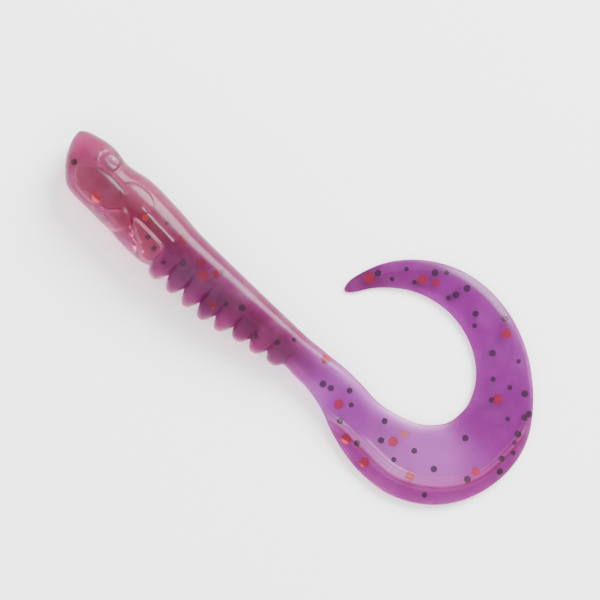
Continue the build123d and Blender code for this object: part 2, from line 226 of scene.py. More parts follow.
def rise(value, low, high):
    """0 below low, 1 above high, smooth between; falls instead when low is above high."""
    t = np.clip((value - low) / (high - low), 0.0, 1.0)
    return t * t * (3 - 2 * t)


def line(value, width):
    """1 where value is 0, falling off smoothly on both sides."""
    return np.exp(-((value / width) ** 2))


def joint_place(name):
    found = [j for j in frame["joints"] if j["name"] == name]
    if not found:
        raise RuntimeError(f"the frame has no joint named {name}")
    return np.array(found[0]["pos_m"]) / MM


def centreline(at):
    """Places (x, y) on the centreline in millimetres, and headings in radians."""
    sway = joint_place("tail_sway")
    x0, y0 = sway[0] - SWAY_STATION, sway[1]
    at = np.asarray(at, float)
    x = x0 + np.minimum(at, TRUNK_STRAIGHT)
    y = np.full_like(x, y0)
    heading = np.zeros_like(x)
    start = TRUNK_STRAIGHT
    for radius, turn in TAIL_ARCS:
        side = math.copysign(1.0, turn)
        length = radius * abs(math.radians(turn))
        step = np.clip(at - start, 0.0, length) / radius
        after = heading + side * step
        x = x + side * radius * (np.sin(after) - np.sin(heading))
        y = y - side * radius * (np.cos(after) - np.cos(heading))
        heading = after
        start += length
    left = np.maximum(at - start, 0.0)
    return x + left * np.cos(heading), y + left * np.sin(heading), heading


def belly_back(at):
    """Offsets of the plain moulding's belly and back."""
    blade = curve(BLADE, at)
    tail = rise(at, 50.0, 55.0)
    back = (1 - tail) * curve(BACK, at) + tail * blade
    belly = (1 - tail) * curve(BELLY, at) - tail * blade
    share = np.sqrt(np.clip(1 - (1 - np.clip(at / SNOUT_LENGTH, 0, 1)) ** 2, 0, 1))
    tip = np.sqrt(np.clip(1 - (1 - np.clip((TAIL_END - at) / TIP_LENGTH, 0, 1)) ** 2, 0, 1))
    middle = 0.5 * (back + belly)
    half = 0.5 * (back - belly) * share * tip
    middle = middle + SNOUT_SLANT * (1 - share) ** 1.2
    return middle - half, middle + half, share * tip


def stations(settings):
    """Ring stations: closer at the snout and tip, and one exactly at every seam."""
    parts = [SNOUT_LENGTH * 0.5 * (1 - np.cos(np.linspace(0, np.pi / 2, 44)[:-1])) ** 1.25]
    first = parts[0][-1] + settings.trunk_step / MM
    edges = [first] + list(SPLITS[1:])
    for low, high in zip(edges[:-1], edges[1:]):
        step = (settings.trunk_step if high < SPLITS[4] else settings.tail_step) / MM
        count = max(2, math.ceil((high - low) / step))
        run = np.linspace(low, high, count + 1)
        if high == TAIL_END:
            near = TIP_LENGTH * (1 - np.sin(np.linspace(0, np.pi / 2, 26)))
            run = np.concatenate((run[run < TAIL_END - TIP_LENGTH - 0.1], TAIL_END - near))
        parts.append(run if high == TAIL_END else run[:-1])
    return np.concatenate(parts)


# ------------------------------------------------------------------ sculpted relief
def dome(s, n, centre, radii, power=0.55):
    """Height 0 to 1 of an oval bulge, and the distance from its centre in radii."""
    r2 = ((s - centre[0]) / radii[0]) ** 2 + ((n - centre[1]) / radii[1]) ** 2
    return np.clip(1 - r2, 0, 1) ** power, np.sqrt(r2)


def segment_distance(s, n, a, b):
    """Distance from the segment a to b, and how far along it the nearest point lies."""
    along = np.array([b[0] - a[0], b[1] - a[1]])
    t = ((s - a[0]) * along[0] + (n - a[1]) * along[1]) / (along @ along)
    t = np.clip(t, 0, 1)
    return np.hypot(s - a[0] - t * along[0], n - a[1] - t * along[1]), t


def rib_wave(s):
    """Rounded teeth of the belly row: height 0 to 1, share of the row, and odd or even."""
    place = (s - RIB_FIRST) / RIB_PITCH
    order = np.clip(np.round(place), 0, RIB_COUNT - 1)
    t = np.clip(np.abs(place - order) * 2, 0, 1)
    tooth = (1 - t**2.3) ** 1.05
    inside = ((place > -0.5) & (place < RIB_COUNT - 0.5)).astype(float)
    return tooth * inside, inside, order % 2


def head_relief(s, n, flank):
    """Height of the relief on the flanks of the head, and its tint masks."""
    cheek, cheek_r = dome(s, n - 0.05 * (s - 8.8), (8.8, -1.0), (4.9, 2.6))
    gill, gill_r = dome(s, n, (12.9, -2.9), (3.4, 2.1))
    over = rise(cheek_r, 1.0, 1.12)
    gill = gill * over
    height = 0.62 * cheek + 0.5 * gill
    # painted highlight: bright crescents along the lower edges of the cheek and gill
    lobe_edge_highlight = line(cheek_r - 0.97, 0.06) * rise(n, -1.2, -2.4) \
        + line(gill_r - 0.97, 0.07) * over * rise(n, -2.6, -3.6)
    creases = 0.16 * line(cheek_r - 1.06, 0.09) + 0.14 * line(gill_r - 1.07, 0.09) * over
    fin_d, fin_t = segment_distance(s, n, (16.6, -1.4), (21.8, -3.1))
    inside_fin = fin_d - (0.12 + 1.5 * fin_t**0.75)
    fin_rim = line(inside_fin, 0.24)
    fin_web = rise(inside_fin, 0.1, -0.3)
    height = height + 0.34 * fin_rim + 0.26 * fin_web
    groove, _ = segment_distance(s, n, (16.2, 1.25), (23.5, 0.55))
    brow, brow_r = dome(s, n, (7.4, 3.05), (1.75, 1.6))
    lid, _ = segment_distance(s, n, (5.6, 4.2), (9.3, 4.25))
    socket = line(brow_r - 1.0, 0.16)
    height = height + 0.16 * line(lid, 0.6) - 0.08 * socket + 0.2 * brow
    neck, _ = dome(s, n, (14.6, 1.7), (3.2, 1.9))
    height = height + 0.24 * neck
    height = height - creases - 0.2 * line(groove, 0.22)
    masks = {
        # painted shade: the dark lobe colour is kept to the lower half of each cheek and gill lobe,
        # so the upper half stays lighter where the light falls
        "lobe": np.maximum(cheek * rise(n, 0.9, -1.4), gill * rise(n, -0.9, -2.6)) * flank,
        # painted shade: the creases round the cheek and gill, the groove and the eye socket get the
        # dark lobe colour
        "crease": np.clip(line(cheek_r - 1.04, 0.1) + line(gill_r - 1.05, 0.1) * over
                          + line(groove, 0.25) + socket, 0, 1) * flank,
        "fin": fin_web * flank,
        # painted highlight lines along the fin's edge and the lobes' lower edges
        "rim_highlight": np.clip(fin_rim + lobe_edge_highlight, 0, 1) * flank,
        "sheen": np.clip(neck + 0.7 * line(lid, 0.6), 0, 1) * flank,
    }
    return height * flank, masks


def skin_grid(settings):
    """The whole skin as one grid of points with normals and tint masks."""
    at = stations(settings)
    count = settings.around
    angle = np.linspace(0, 2 * np.pi, count, endpoint=False)[None, :]
    power = 2.0 / settings.roundness
    across = np.sign(np.cos(angle)) * np.abs(np.cos(angle)) ** power
    through = np.sign(np.sin(angle)) * np.abs(np.sin(angle)) ** power
    s = at[:, None]
    belly, back, share = belly_back(s)
    middle, half = 0.5 * (belly + back), 0.5 * (back - belly)
    thick = curve(HALF_THICK, s) * share
    swell = 0.38 * rise(s, 56.0, 70.0)
    n = middle + half * across
    z = curve(REST_HEIGHT, s) + thick * (1 - swell * across) * through
    flank = rise(np.abs(through), 0.25, 0.75)
    relief = settings.relief

    head = rise(s, 26.0, 23.5)
    height, masks = head_relief(s, n, flank)
    z = z + relief * np.sign(through) * height * head
    for key in masks:
        masks[key] = masks[key] * head

    under = np.clip(-across, 0, 1)
    from_belly = n - belly
    jaw = rise(from_belly, 1.75, 1.3) * rise(s, 2.6, 4.2) * rise(s, 24.2, 23.2) * (under > 0)
    jaw_edge = line(from_belly - 1.55, 0.22) * rise(s, 3.5, 5.0) * rise(s, 24.0, 23.0)
    n = n - relief * 0.42 * jaw * under**2
    z = z + relief * 0.2 * jaw * through * (1 - under**4)
    z = z - relief * 0.16 * jaw_edge * np.sign(through) * flank * (under > 0)

    tooth, in_row, parity = rib_wave(s)
    stand = curve(RIB_STAND, s)
    n = n - relief * stand * tooth * under**2.6
    z = z + relief * 0.42 * np.sign(through) * tooth * rise(under, 0.1, 0.62) \
        * rise(np.abs(through), 0.1, 0.6)
    z = z - relief * 0.22 * np.sign(through) * in_row * rise(tooth, 0.35, 0.0) \
        * rise(under, 0.12, 0.5) * flank

    top = rise(through, 0.05, 0.4)
    edge = (across + 1) * half
    crest = curve(CREASE, s)
    active = rise(s, 60.5, 64.0) * rise(s, 97.0, 92.5)
    beyond = crest - edge
    ridges = line(beyond + 0.25, 0.17) + line(beyond + 0.8, 0.16) \
        + 0.7 * line(beyond + 1.35, 0.18) * rise(s, 66.0, 70.0) * rise(s, 88.0, 84.0)
    valley = line(beyond - 0.3, 0.25)
    band = rise(beyond, 0.1, 1.1)
    z = z + relief * top * active * (0.28 * ridges - 0.34 * valley - 0.42 * band)
    bevel = rise(edge, 1.9, 1.45) * rise(s, 95.0, 100.0) * rise(s, 134.0, 128.0)
    z = z - relief * top * (0.16 * bevel * rise(edge, 1.9, 0.3)
                            + 0.06 * line(edge - 1.85, 0.16) * rise(s, 95.0, 100.0)
                            * rise(s, 133.0, 127.0))
    waver = np.sin(s * 0.9 + n * 0.6) * np.sin(s * 0.37 - n * 0.9 + 1.0)
    z = z + 0.02 * waver * top * rise(s, 56.0, 62.0) * rise(s, 136.0, 130.0) * (share > 0.9)

    z = 0.5 * (z + np.sqrt(z * z + UNDERSIDE_SOFTNESS))
    x, y, heading = centreline(s)
    points = np.stack((x - n * np.sin(heading), y + n * np.cos(heading), z), axis=-1)

    masks.update(
        jaw=np.clip(jaw, 0, 1) * np.ones_like(n),
        jaw_edge=jaw_edge * flank * (under > 0),
        rib=tooth * rise(under, 0.05, 0.4),
        rib_row=in_row * rise(under, 0.0, 0.25),
        # painted shade in the gaps between the ribs
        rib_gap=in_row * rise(tooth, 0.3, 0.0) * rise(under, 0.1, 0.45),
        parity=parity * np.ones_like(n),
        # painted highlight on the ridges of the tail crease
        ridge=np.clip(ridges, 0, 1) * top * active,
        valley=valley * top * active,
        band=band * active,
        bevel=bevel,
        across=across * np.ones_like(n),
        station=s * np.ones_like(n),
    )
    return at, points, grid_normals(points), masks


def grid_normals(points):
    """Outward normals of a grid that is closed round each ring."""
    along = np.empty_like(points)
    along[1:-1] = points[2:] - points[:-2]
    along[0] = points[1] - points[0]
    along[-1] = points[-1] - points[-2]
    round_ = np.roll(points, -1, axis=1) - np.roll(points, 1, axis=1)
    normal = np.cross(round_, along)
    length = np.linalg.norm(normal, axis=2, keepdims=True)
    normal = normal / np.maximum(length, 1e-12)
    heading = centreline(np.array([0.0, TAIL_END]))[2]
    normal[0] = (-math.cos(heading[0]), -math.sin(heading[0]), 0)
    normal[-1] = (math.cos(heading[1]), math.sin(heading[1]), 0)
    return normal


# ------------------------------------------------------------------ colours of the skin
COLOURS = {
    "head_back": (0.250, 0.012, 0.078),
    "head_side": (0.260, 0.012, 0.092),
    # dark maroon of the head's lobes, fin and rib tips; also painted shade on the lobes' lower halves
    # and in creases and grooves
    "lobe": (0.330, 0.050, 0.125),
    "sheath": (0.330, 0.050, 0.210),
    # painted highlight colour of the light rim lines
    "rim_highlight": (0.560, 0.150, 0.300),
    "sheen": (0.480, 0.130, 0.250),
    "trunk": (0.185, 0.001, 0.098),
    "rib_front": (0.200, 0.004, 0.125),
    # dark purple of every other rib, also painted shade between the ribs and along the back's edge
    "rib_dark_and_shade": (0.095, 0.004, 0.072),
    "rib_rear": (0.260, 0.005, 0.150),
    "stem": (0.390, 0.075, 0.410),
    "tail": (0.350, 0.030, 0.345),
    # lighter lilac of the tail's thin lower bend: partly its own colour, partly a painted milky sheen
    # of the light
    "lower_bend_and_sheen": (0.520, 0.200, 0.530),
    # darker band outside the tail crease: partly thicker plastic, partly painted shade on the facet
    # that faces away from the light
    "band": (0.330, 0.014, 0.270),
    # painted highlight colour of the crease's ridge lines
    "ridge": (0.820, 0.280, 0.520),
    # saturated dark magenta: painted shade in the crease's valley and along the worm's thin edges
    "magenta_shade": (0.360, 0.000, 0.075),
    # slightly lighter: painted highlight along the bevel of the tail's outer edge
    "bevel": (0.370, 0.050, 0.370),
    "tip": (0.290, 0.030, 0.250),
}


def tint(masks):
    """Linear colour of every grid point from the masks."""
    s, across = masks["station"], masks["across"]
    shape = s.shape + (3,)

    def colour(name):
        return np.broadcast_to(np.array(COLOURS[name]), shape)

    def mix(base, name, share):
        share = np.clip(share, 0, 1)[..., None]
        return base * (1 - share) + colour(name) * share

    out = colour("head_side").copy()
    out = mix(out, "head_back", rise(across, -0.25, 0.6))
    out = mix(out, "trunk", rise(s, 18.0, 31.0))
    out = mix(out, "stem", rise(s, 47.0, 58.0))
    # partly the thin blade's colour, partly a painted sheen
    out = mix(out, "lower_bend_and_sheen", rise(s, 62.0, 76.0))
    out = mix(out, "tail", rise(s, 82.0, 92.0))
    out = mix(out, "tip", rise(s, 118.0, 132.0))
    # painted shade: the lobes are darker on their lower halves
    out = mix(out, "lobe", 0.85 * masks["lobe"] ** 0.5)
    out = mix(out, "sheen", 0.6 * masks["sheen"])
    # painted shade in the creases
    out = mix(out, "lobe", 0.7 * masks["crease"])
    out = mix(out, "sheath", 0.85 * masks["jaw"])
    # painted shade along the groove at the jaw's edge
    out = mix(out, "lobe", 0.6 * masks["jaw_edge"])
    out = mix(out, "lobe", 0.75 * masks["fin"])
    # painted highlight on the fin's rim and the lobes' lower edges
    out = mix(out, "rim_highlight", 0.8 * masks["rim_highlight"])
    rear = rise(s, 33.0, 43.0)
    out = mix(out, "rib_front", 0.9 * masks["rib_row"] * (1 - rear))
    out = mix(out, "rib_rear", 0.8 * masks["rib_row"] * rear)
    out = mix(out, "lobe", 0.8 * rise(across, -0.8, -0.97) * masks["rib"])
    out = mix(out, "rib_dark_and_shade", 0.5 * masks["rib"] * masks["parity"])
    # painted shade between the ribs
    out = mix(out, "rib_dark_and_shade", 0.8 * masks["rib_gap"])
    # partly thicker plastic, partly painted shade on the band's facet
    out = mix(out, "band", 0.8 * masks["band"])
    # painted shade in the valley of the tail crease
    out = mix(out, "magenta_shade", masks["valley"])
    # painted highlight on the crease's ridges
    out = mix(out, "ridge", 0.8 * masks["ridge"])
    # painted highlight on the tail's bevel
    out = mix(out, "bevel", 0.7 * masks["bevel"])
    trunk = rise(s, 9.0, 14.0) * rise(s, 60.0, 54.0)
    out = mix(out, "lobe", 0.45 * trunk * rise(across, 0.45, 0.75) * rise(across, 0.975, 0.93))
    # painted shade: a dark outline along the trunk's back edge
    out = mix(out, "rib_dark_and_shade", 0.65 * trunk * rise(across, 0.93, 0.985))
    # painted shade: a thin dark outline along both edges of the worm
    out = mix(out, "magenta_shade", 0.55 * rise(np.abs(across), 0.94, 0.99))
    return out


# ------------------------------------------------------------------ shader groups
def shader_group(name, inputs, outputs):
    group = bpy.data.node_groups.new(name, "ShaderNodeTree")
    for label, kind, default in inputs:
        socket = group.interface.new_socket(label, in_out="INPUT", socket_type=kind)
        socket.default_value = default
    for label, kind in outputs:
        group.interface.new_socket(label, in_out="OUTPUT", socket_type=kind)
    start = group.nodes.new("NodeGroupInput")
    end = group.nodes.new("NodeGroupOutput")
    return group, start, end


def math_node(tree, operation, a, b, clamp=False):
    node = tree.nodes.new("ShaderNodeMath")
    node.operation = operation
    node.use_clamp = clamp
    for socket, value in zip(node.inputs, (a, b)):
        if isinstance(value, (int, float)):
            socket.default_value = value
        else:
            tree.links.new(value, socket)
    return node.outputs[0]


def mix_node(tree, factor, a, b, blend_type="MIX"):
    node = tree.nodes.new("ShaderNodeMix")
    node.data_type = "RGBA"
    node.blend_type = blend_type
    for index, value in ((0, factor), (6, a), (7, b)):
        if isinstance(value, (int, float, tuple)):
            node.inputs[index].default_value = value
        else:
            tree.links.new(value, node.inputs[index])
    return node.outputs[2]


def noise_node(tree, vector, scale, detail, rough=0.5):
    node = tree.nodes.new("ShaderNodeTexNoise")
    node.inputs["Scale"].default_value = scale
    node.inputs["Detail"].default_value = detail
    node.inputs["Roughness"].default_value = rough
    tree.links.new(vector, node.inputs["Vector"])
    return node.outputs[0]


def clouded_plastic():
    """Group: the tint, made uneven by slow clouds and fine speckle, and a height for bump."""
    group, start, end = shader_group(
        "clouded_plastic",
        (("Vector", "NodeSocketVector", (0.0, 0.0, 0.0)),
         ("Tint", "NodeSocketColor", (0.5, 0.1, 0.4, 1.0)),
         ("Milk", "NodeSocketColor", (0.66, 0.40, 0.66, 1.0)),
         ("Clouding", "NodeSocketFloat", 0.16)),
        (("Color", "NodeSocketColor"), ("Roughness", "NodeSocketFloat"),
         ("Height", "NodeSocketFloat")),
    )
    slow = noise_node(group, start.outputs["Vector"], 190.0, 3.0, 0.55)
    fine = noise_node(group, start.outputs["Vector"], 2400.0, 2.0)
    cloud = group.nodes.new("ShaderNodeMapRange")
    cloud.inputs["From Min"].default_value = 0.42
    cloud.inputs["From Max"].default_value = 0.72
    group.links.new(slow, cloud.inputs["Value"])
    share = math_node(group, "MULTIPLY", cloud.outputs[0], start.outputs["Clouding"], True)
    milky = mix_node(group, share, start.outputs["Tint"], start.outputs["Milk"])
    dark = math_node(group, "MULTIPLY_ADD", fine, 0.22)
    group.nodes[-1].inputs[2].default_value = 0.89
    speckle = group.nodes.new("ShaderNodeCombineColor")
    for socket in speckle.inputs:
        group.links.new(dark, socket)
    colour = mix_node(group, 1.0, milky, speckle.outputs[0], "MULTIPLY")
    rough = math_node(group, "MULTIPLY_ADD", slow, 0.12)
    group.nodes[-1].inputs[2].default_value = 0.17
    height = math_node(group, "MULTIPLY_ADD", fine, 0.25)
    group.links.new(slow, group.nodes[-1].inputs[2])
    group.links.new(colour, end.inputs["Color"])
    group.links.new(rough, end.inputs["Roughness"])
    group.links.new(height, end.inputs["Height"])
    return group


def material(name):
    made = bpy.data.materials.new(name)
    made.use_nodes = True
    tree = made.node_tree
    return made, tree, tree.nodes["Principled BSDF"]


def plastic(name, clouds, clarity):
    """Wet-looking translucent plastisol."""
    made, tree, shader = material(name)
    place = tree.nodes.new("ShaderNodeTexCoord")
    colour = tree.nodes.new("ShaderNodeAttribute")
    colour.attribute_name = "tint"
    effect = tree.nodes.new("ShaderNodeGroup")
    effect.node_tree = clouds
    tree.links.new(place.outputs["Object"], effect.inputs["Vector"])
    tree.links.new(colour.outputs["Color"], effect.inputs["Tint"])
    bump = tree.nodes.new("ShaderNodeBump")
    bump.inputs["Strength"].default_value = 0.12
    bump.inputs["Distance"].default_value = 0.00008
    tree.links.new(effect.outputs["Height"], bump.inputs["Height"])
    tree.links.new(bump.outputs["Normal"], shader.inputs["Normal"])
    tree.links.new(effect.outputs["Color"], shader.inputs["Base Color"])
    tree.links.new(effect.outputs["Roughness"], shader.inputs["Roughness"])
    shader.inputs["IOR"].default_value = 1.27
    shader.inputs["Specular IOR Level"].default_value = 0.12
    shader.inputs["Transmission Weight"].default_value = clarity
    shader.inputs["Coat Weight"].default_value = 0.04
    shader.inputs["Coat Roughness"].default_value = 0.06
    shader.inputs["Coat IOR"].default_value = 1.4
    return made


def clear_seam():
    """The caps inside the worm, where two lengths of skin meet, don't show."""
    made, _, shader = material("clear_seam")
    shader.inputs["Base Color"].default_value = (1.0, 1.0, 1.0, 1.0)
    shader.inputs["Roughness"].default_value = 1.0
    shader.inputs["Specular IOR Level"].default_value = 0.0
    shader.inputs["Alpha"].default_value = 0.0
    return made


def foil(name, colour, metallic, roughness, glow=0.0):
    """Thin dyed foil with fine rolling marks."""
    made, tree, shader = material(name)
    place = tree.nodes.new("ShaderNodeTexCoord")
    marks = noise_node(tree, place.outputs["Object"], 5200.0, 3.0)
    dull = tuple(0.6 * c for c in colour[:3]) + (1.0,)
    tree.links.new(mix_node(tree, marks, colour, dull), shader.inputs["Base Color"])
    shader.inputs["Metallic"].default_value = metallic
    shader.inputs["Roughness"].default_value = roughness
    # painted glow: with glow above 0 the flake gives off light of its own, though it is no lamp
    shader.inputs["Emission Color"].default_value = colour
    shader.inputs["Emission Strength"].default_value = glow
    return made


# ------------------------------------------------------------------ meshes
def new_object(name, mesh):
    obj = bpy.data.objects.new(name, mesh)
    bpy.context.scene.collection.objects.link(obj)
    return obj


def normals_of_cap(ring, inner):
    """Direction that the flat cap over a ring faces: away from the next ring in."""
    flat = np.cross(ring[len(ring) // 4] - ring[0], ring[len(ring) // 2] - ring[0])
    flat = flat / np.linalg.norm(flat)
    return flat if flat @ (ring.mean(0) - inner.mean(0)) > 0 else -flat


def tube_mesh(name, points, normals, colours, skin, seam):
    """A closed length of skin: rings of points, with a cap over each end."""
    rings, count = points.shape[:2]
    closed_front = np.ptp(points[0], axis=0).max() < 1e-4
    closed_rear = np.ptp(points[-1], axis=0).max() < 1e-4
    first = 1 if closed_front else 0
    last = rings - 1 if closed_rear else rings
    body = points[first:last].reshape(-1, 3)
    kept = last - first
    vertices = np.concatenate((body, [points[0].mean(0)], [points[-1].mean(0)]))
    nose, tail = len(body), len(body) + 1
    i = np.arange(kept - 1)[:, None] * count
    j = np.arange(count)[None, :]
    k = (j + 1) % count
    quads = np.stack((i + j, i + k, i + count + k, i + count + j), axis=-1).reshape(-1, 4)
    faces = quads.tolist()
    row = np.arange(count)
    after = (row + 1) % count
    end = (kept - 1) * count
    front = np.stack((np.full(count, nose), after, row), axis=1)
    rear = np.stack((np.full(count, tail), end + row, end + after), axis=1)
    faces += front.tolist() + rear.tolist()
    mesh = bpy.data.meshes.new(name)
    mesh.from_pydata((vertices * MM).tolist(), [], faces)
    mesh.materials.append(skin)
    mesh.materials.append(seam)
    index = np.zeros(len(faces), np.int32)
    if not closed_front:
        index[len(quads):len(quads) + count] = 1
    if not closed_rear:
        index[len(quads) + count:] = 1
    mesh.polygons.foreach_set("material_index", index)
    mesh.polygons.foreach_set("use_smooth", np.ones(len(faces), bool))
    shades = np.concatenate((colours[first:last].reshape(-1, 3), [colours[0].mean(0)],
                             [colours[-1].mean(0)]))
    attribute = mesh.attributes.new("tint", "FLOAT_COLOR", "POINT")
    rgba = np.concatenate((shades, np.ones((len(shades), 1))), axis=1)
    attribute.data.foreach_set("color", rgba.astype(np.float32).ravel())
    facing = np.concatenate((normals[first:last].reshape(-1, 3), [normals[0].mean(0)],
                             [normals[-1].mean(0)]))
    mesh.update()
    corner = np.zeros(len(mesh.loops), np.int32)
    mesh.loops.foreach_get("vertex_index", corner)
    loop_normals = facing[corner]
    cap = 4 * len(quads)
    if not closed_front:
        loop_normals[cap:cap + 3 * count] = normals_of_cap(points[0], points[1])
    if not closed_rear:
        loop_normals[cap + 3 * count:] = normals_of_cap(points[-1], points[-2])
    mesh.normals_split_custom_set(loop_normals.tolist())
    return mesh


def bend_with(obj, index, front_ring, rear_ring):
    """Bakes the piece's place into its mesh; how far a bend would reach either side of its joint is
    worked out but not used.
    """
    pivot = joint_place(JOINTS[index])
    heading = float(centreline(np.array([JOINT_STATIONS[index]]))[2][0])
    ahead = np.array([math.cos(heading), math.sin(heading), 0.0])
    reach_back = -float(((front_ring - pivot) @ ahead).max())
    reach_on = float(((rear_ring - pivot) @ ahead).min())
    if index == 0:
        reach_back = FIRST_REACH_BACK
    if index == len(JOINTS) - 1:
        reach_on = LAST_REACH_ON
    reach_back = min(reach_back, REACH_BALANCE * reach_on)
    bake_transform(obj)


def cad_nodes(prefixes):
    """Names of the CAD nodes that start with any of the prefixes."""
    return [n for n in sorted(frame["nodes"]) if n.startswith(tuple(prefixes))]


def flake_group():
    """Geometry nodes: a hexagon of foil on every point, each turned and tilted its own way."""
    group = bpy.data.node_groups.new("scatter_flakes", "GeometryNodeTree")
    face = group.interface
    face.new_socket("Geometry", in_out="INPUT", socket_type="NodeSocketGeometry")
    face.new_socket("Across Flats", in_out="INPUT", socket_type="NodeSocketFloat")
    face.new_socket("Foil", in_out="INPUT", socket_type="NodeSocketFloat")
    face.new_socket("Tilt", in_out="INPUT", socket_type="NodeSocketFloat")
    face.new_socket("Seed", in_out="INPUT", socket_type="NodeSocketInt")
    face.new_socket("Material", in_out="INPUT", socket_type="NodeSocketMaterial")
    face.new_socket("Geometry", in_out="OUTPUT", socket_type="NodeSocketGeometry")
    make = group.nodes.new
    start, end = make("NodeGroupInput"), make("NodeGroupOutput")
    radius = make("ShaderNodeMath")
    radius.operation = "DIVIDE"
    radius.inputs[1].default_value = math.sqrt(3.0)
    group.links.new(start.outputs["Across Flats"], radius.inputs[0])
    hexagon = make("GeometryNodeMeshCylinder")
    hexagon.inputs["Vertices"].default_value = 6
    group.links.new(radius.outputs[0], hexagon.inputs["Radius"])
    group.links.new(start.outputs["Foil"], hexagon.inputs["Depth"])
    low, high = make("ShaderNodeCombineXYZ"), make("ShaderNodeCombineXYZ")
    minus = make("ShaderNodeMath")
    minus.operation = "MULTIPLY"
    minus.inputs[1].default_value = -1.0
    group.links.new(start.outputs["Tilt"], minus.inputs[0])
    for axis in ("X", "Y"):
        group.links.new(minus.outputs[0], low.inputs[axis])
        group.links.new(start.outputs["Tilt"], high.inputs[axis])
    high.inputs["Z"].default_value = 2 * math.pi
    turn = make("FunctionNodeRandomValue")
    turn.data_type = "FLOAT_VECTOR"
    group.links.new(low.outputs[0], turn.inputs["Min"])
    group.links.new(high.outputs[0], turn.inputs["Max"])
    group.links.new(start.outputs["Seed"], turn.inputs["Seed"])
    size = make("FunctionNodeRandomValue")
    size.data_type = "FLOAT"
    size_range = [i for i in size.inputs if i.type == "VALUE"]
    size_range[0].default_value, size_range[1].default_value = FLAKE_SPREAD
    group.links.new(start.outputs["Seed"], size.inputs["Seed"])
    put = make("GeometryNodeInstanceOnPoints")
    group.links.new(start.outputs["Geometry"], put.inputs["Points"])
    group.links.new(hexagon.outputs["Mesh"], put.inputs["Instance"])
    group.links.new(turn.outputs[0], put.inputs["Rotation"])
    scale = [o for o in size.outputs if o.type == "VALUE"][0]
    group.links.new(scale, put.inputs["Scale"])
    real = make("GeometryNodeRealizeInstances")
    finish = make("GeometryNodeSetMaterial")
    group.links.new(put.outputs[0], real.inputs[0])
    group.links.new(real.outputs[0], finish.inputs["Geometry"])
    group.links.new(start.outputs["Material"], finish.inputs["Material"])
    group.links.new(finish.outputs[0], end.inputs[0])
    return group


def scatter(name, group, places, values):
    """Plain mesh of the flakes that the node group makes on the given places."""
    seeds = bpy.data.meshes.new(name + "_points")
    seeds.from_pydata((places * MM).tolist(), [], [])
    holder = new_object(name + "_points", seeds)
    modifier = holder.modifiers.new("flakes", "NODES")
    modifier.node_group = group
    for item in group.interface.items_tree:
        if item.in_out == "INPUT" and item.name in values:
            modifier[item.identifier] = values[item.name]
    bpy.context.view_layer.update()
    depsgraph = bpy.context.evaluated_depsgraph_get()
    mesh = bpy.data.meshes.new_from_object(holder.evaluated_get(depsgraph))
    bpy.data.objects.remove(holder)
    mesh.name = name
    if len(mesh.polygons) == 0:
        raise RuntimeError(f"{name}: the flakes came out empty")
    return new_object(name, mesh)


# ------------------------------------------------------------------ operators
grid = {}


class WORM_OT_skin(bpy.types.Operator):
    """Model the translucent skin in seven lengths, split at the seams"""
    bl_idname = "worm.skin"
    bl_label = "Skin"

    def execute(self, context):
        settings = context.scene.worm_skin
        at, points, normals, masks = skin_grid(settings)
        colours = tint(masks)
        clouds = clouded_plastic()
        seam = clear_seam()
        clarity = {"head_plastic": 0.92, "trunk_plastic": 0.95, "tail_plastic": 0.97}
        looks = {slot: plastic(slot, clouds, clarity[slot]) for slot in clarity}
        slots = ("head_plastic", "trunk_plastic", "trunk_plastic") + ("tail_plastic",) * 4
        owners = [["head", "shoulder", "jaw", "cheek_", "gill_", "fin_", "rib_1", "rib_2",
                   "rib_3", "rib_4", "rib_5", "trunk_middle"],
                  ["trunk_rear", "rib_6", "rib_7", "rib_8"], ["tail_stem"], ["tail_lower"],
                  ["tail_bend"], ["tail_upper"], ["tail_hook"]]
        grid.update(at=at, points=points)
        for index in range(len(SPLITS) - 1):
            low, high = SPLITS[index], SPLITS[index + 1]
            chosen = np.where((at >= low - 1e-6) & (at <= high + 1e-6))[0]
            part = slice(chosen[0], chosen[-1] + 1)
            name = f"skin_{index + 1}"
            mesh = tube_mesh(name, points[part], normals[part], colours[part],
                             looks[slots[index]], seam)
            obj = new_object(name, mesh)
            bend_with(obj, index, points[chosen[0]], points[chosen[-1]])
            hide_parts(*cad_nodes(owners[index]))
        return {"FINISHED"}


class WORM_OT_eyes(bpy.types.Operator):
    """Model the two bulging eyes"""
    bl_idname = "worm.eyes"
    bl_label = "Eyes"

    def execute(self, context):
        made, tree, shader = material("eye_plastic")
        place = tree.nodes.new("ShaderNodeTexCoord")
        marks = noise_node(tree, place.outputs["Object"], 900.0, 3.0)
        colour = mix_node(tree, marks, (0.26, 0.03, 0.13, 1.0), (0.44, 0.10, 0.24, 1.0))
        tree.links.new(colour, shader.inputs["Base Color"])
        shader.inputs["Roughness"].default_value = 0.2
        shader.inputs["Transmission Weight"].default_value = 0.5
        shader.inputs["Coat Weight"].default_value = 0.1
        for hand in ("left", "right"):
            low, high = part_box(f"eye_{hand}")
            middle, size = (low + high) / 2, high - low
            rings, count = 40, 64
            across = np.linspace(0, np.pi, rings)
            turn = np.linspace(0, 2 * np.pi, count, endpoint=False)
            wide = np.sin(across)[:, None]
            x = wide * np.cos(turn)[None, :] * size.x * 0.54
            y = wide * np.sin(turn)[None, :] * size.y * 0.40
            z = np.cos(across)[:, None] * np.ones(count)[None, :] * size.x * 0.42
            side = 1.0 if hand == "right" else -1.0
            outer = high.z if side > 0 else low.z
            sink = outer - side * (size.x * 0.42 - 0.1 * MM)
            points = np.stack((middle.x + x, middle.y + y, sink + z), axis=-1) / MM
            normal = np.stack((wide * np.cos(turn), wide * np.sin(turn),
                               np.cos(across)[:, None] * np.ones(count)), axis=-1)
            shades = np.ones(points.shape)
            mesh = tube_mesh(f"eye_dome_{hand}", points[:, ::-1], normal[:, ::-1], shades,
                             made, made)
            mesh.materials.pop(index=1)
            obj = new_object(f"eye_dome_{hand}", mesh)
            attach(obj, "fore_body")
            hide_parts(f"eye_{hand}")
        return {"FINISHED"}


